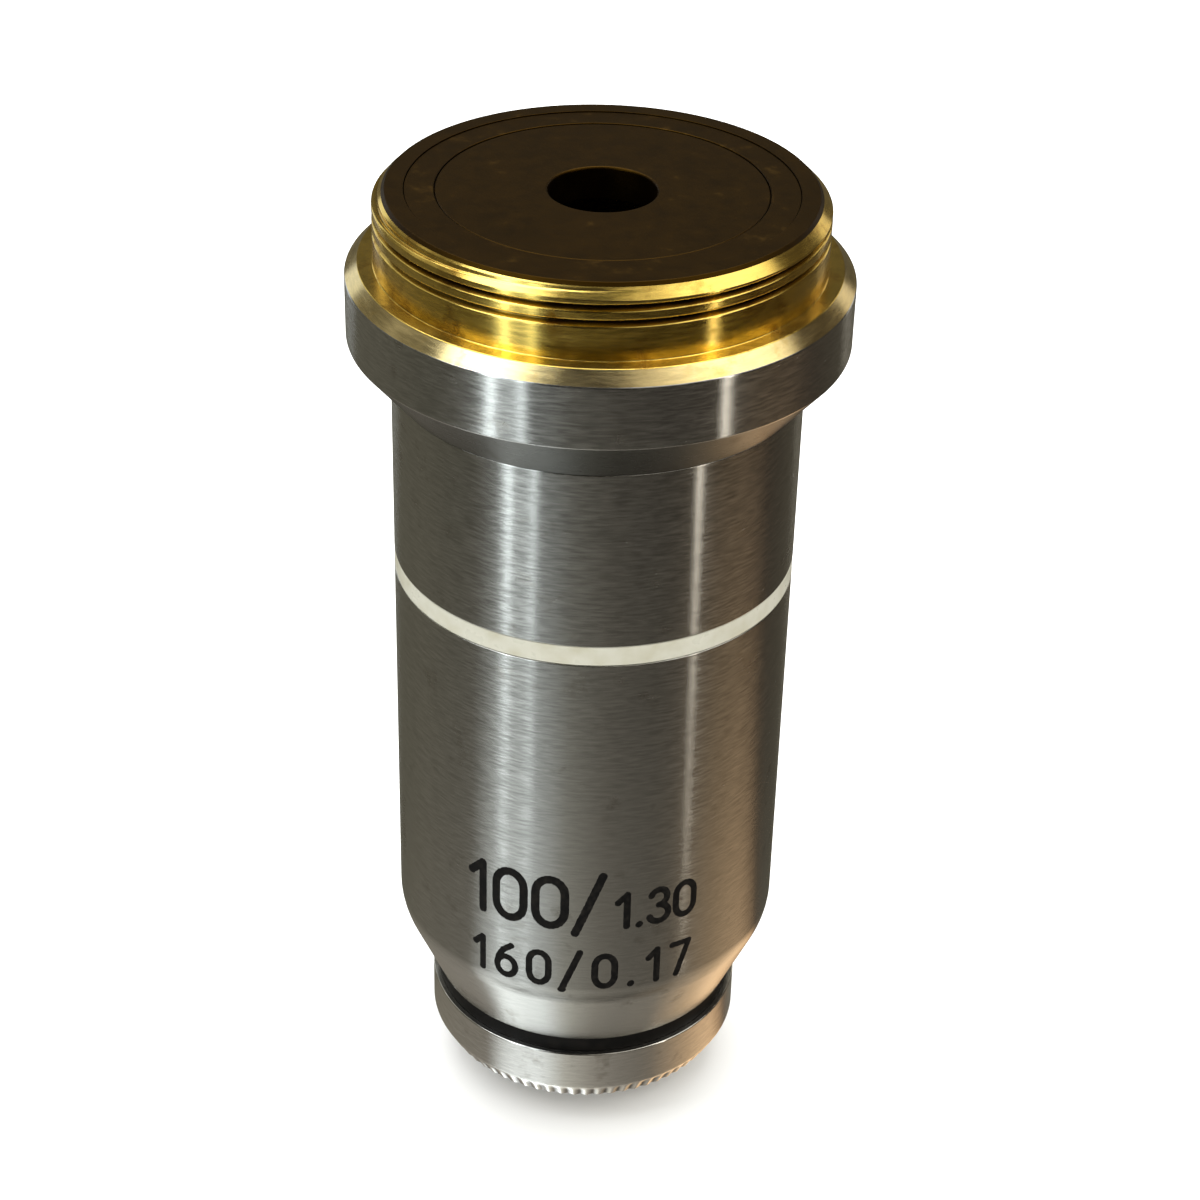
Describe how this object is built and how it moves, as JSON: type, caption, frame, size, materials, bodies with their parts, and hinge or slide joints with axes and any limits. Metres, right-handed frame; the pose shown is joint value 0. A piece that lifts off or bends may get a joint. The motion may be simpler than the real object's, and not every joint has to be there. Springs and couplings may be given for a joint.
{
  "type": "microscope objective",
  "caption": "Oil-immersion microscope objective: threaded brass mount, plated barrel with colour ring, black immersion ring and a spring-loaded front.",
  "frame": {"origin": "centre of the shoulder seat, where the mounting thread meets the shoulder", "axes": "+Z along the optical axis from the shoulder towards the thread and the eyepiece; the front lens points along -Z"},
  "size_m": [0.0228, 0.0228, 0.0482],
  "materials": {
    "brass": "turned",
    "black_brass": "blackened",
    "plated_sleeve": "satin",
    "plated_ring": "satin",
    "plated_tip": "polished",
    "colour_enamel": "enamel",
    "black_ring": "satin",
    "spring_steel": "drawn",
    "glass": "polished"
  },
  "bodies": {
    "housing": {"mount_body": "brass", "rear_stop": "black_brass", "rear_ring": "black_brass", "barrel_sleeve": "plated_sleeve", "colour_band": "colour_enamel", "immersion_band": "black_ring", "front_ring": "plated_ring", "return_spring": "spring_steel"},
    "front_carrier": {"lens_carrier": "black_brass", "guide_pin": "spring_steel", "thrust_washer": "spring_steel", "nose_cell": "plated_tip", "front_lens": "glass", "meniscus_cell": "black_brass", "meniscus_lens": "glass", "lower_pair_cell": "black_brass", "lower_crown_lens": "glass", "lower_flint_lens": "glass", "pair_spacer": "black_brass", "upper_pair_cell": "black_brass", "upper_crown_lens": "glass", "upper_flint_lens": "glass", "top_spacer": "black_brass", "lock_ring": "black_brass"}
  },
  "joints": [
    {"name": "front_slide", "type": "slide", "parent": "housing", "child": "front_carrier", "axis": [0, 0, 1], "range_m": [0, 0.0016], "stiffness_N_per_m": 680, "springref_m": -0.0045, "deforming": ["return_spring"]}
  ]
}
